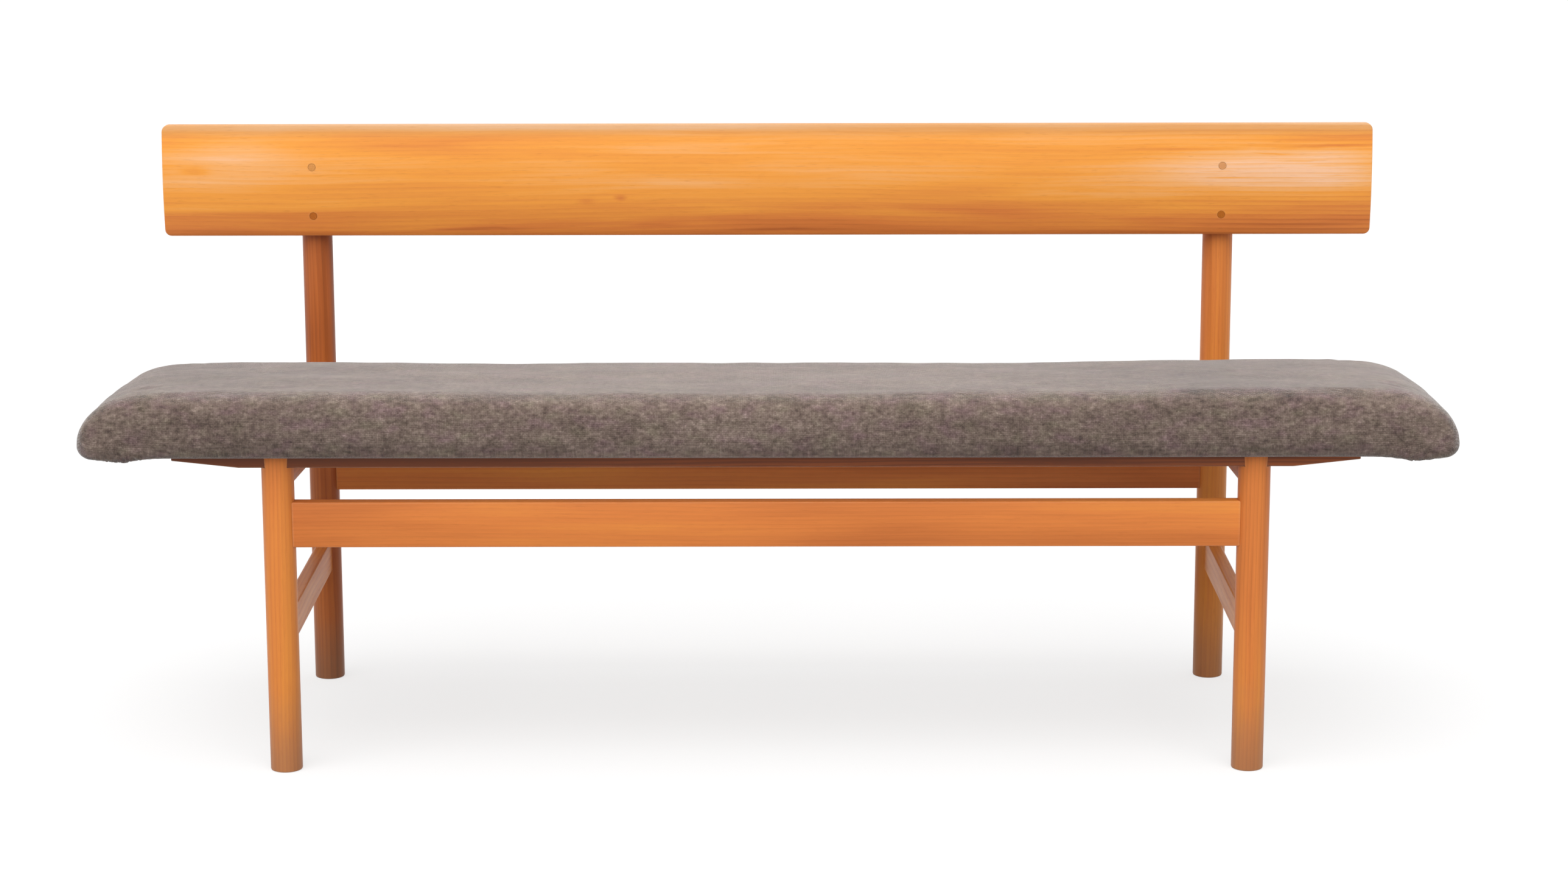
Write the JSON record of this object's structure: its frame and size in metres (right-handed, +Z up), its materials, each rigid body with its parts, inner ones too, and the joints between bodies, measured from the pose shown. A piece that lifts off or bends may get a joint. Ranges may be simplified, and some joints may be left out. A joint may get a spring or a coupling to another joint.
{
  "type": "upholstered bench with back",
  "caption": "Long wooden bench with round legs, tall rear posts that hold a plank back, stretchers and a long upholstered seat.",
  "frame": {"origin": "on the floor, in the middle of the bench's length and depth", "axes": "+X along the bench towards the sitter's left, -Y towards the front, +Z up"},
  "size_m": [1.6564, 0.4894, 0.747],
  "materials": {
    "oiled_wood": "oiled, satin",
    "plug_wood": "oiled end grain, darker than the board",
    "plywood": "bare, sanded",
    "foam": "open-cell seat foam",
    "wool_fabric": "heathered warm grey wool weave",
    "zinc_steel": "zinc plated"
  },
  "bodies": {
    "root": {"back_board": "oiled_wood", "back_plug_lower_left": "plug_wood", "back_plug_lower_right": "plug_wood", "back_plug_upper_left": "plug_wood", "back_plug_upper_right": "plug_wood", "back_screw_lower_left": "zinc_steel", "back_screw_lower_right": "zinc_steel", "back_screw_upper_left": "zinc_steel", "back_screw_upper_right": "zinc_steel", "front_leg_left": "oiled_wood", "front_leg_right": "oiled_wood", "front_rail_screw_1": "zinc_steel", "front_rail_screw_2": "zinc_steel", "front_rail_screw_3": "zinc_steel", "front_rail_screw_4": "zinc_steel", "front_seat_rail": "oiled_wood", "front_stretcher": "oiled_wood", "rear_leg_left": "oiled_wood", "rear_leg_right": "oiled_wood", "rear_rail_screw_1": "zinc_steel", "rear_rail_screw_2": "zinc_steel", "rear_rail_screw_3": "zinc_steel", "rear_rail_screw_4": "zinc_steel", "rear_seat_rail": "oiled_wood", "rear_stretcher": "oiled_wood", "seat_board": "plywood", "seat_cover": "wool_fabric", "seat_foam": "foam", "seat_screw_left_1": "zinc_steel", "seat_screw_left_2": "zinc_steel", "seat_screw_right_1": "zinc_steel", "seat_screw_right_2": "zinc_steel", "side_rail_left": "oiled_wood", "side_rail_right": "oiled_wood", "side_stretcher_left": "oiled_wood", "side_stretcher_right": "oiled_wood"}
  },
  "joints": []
}
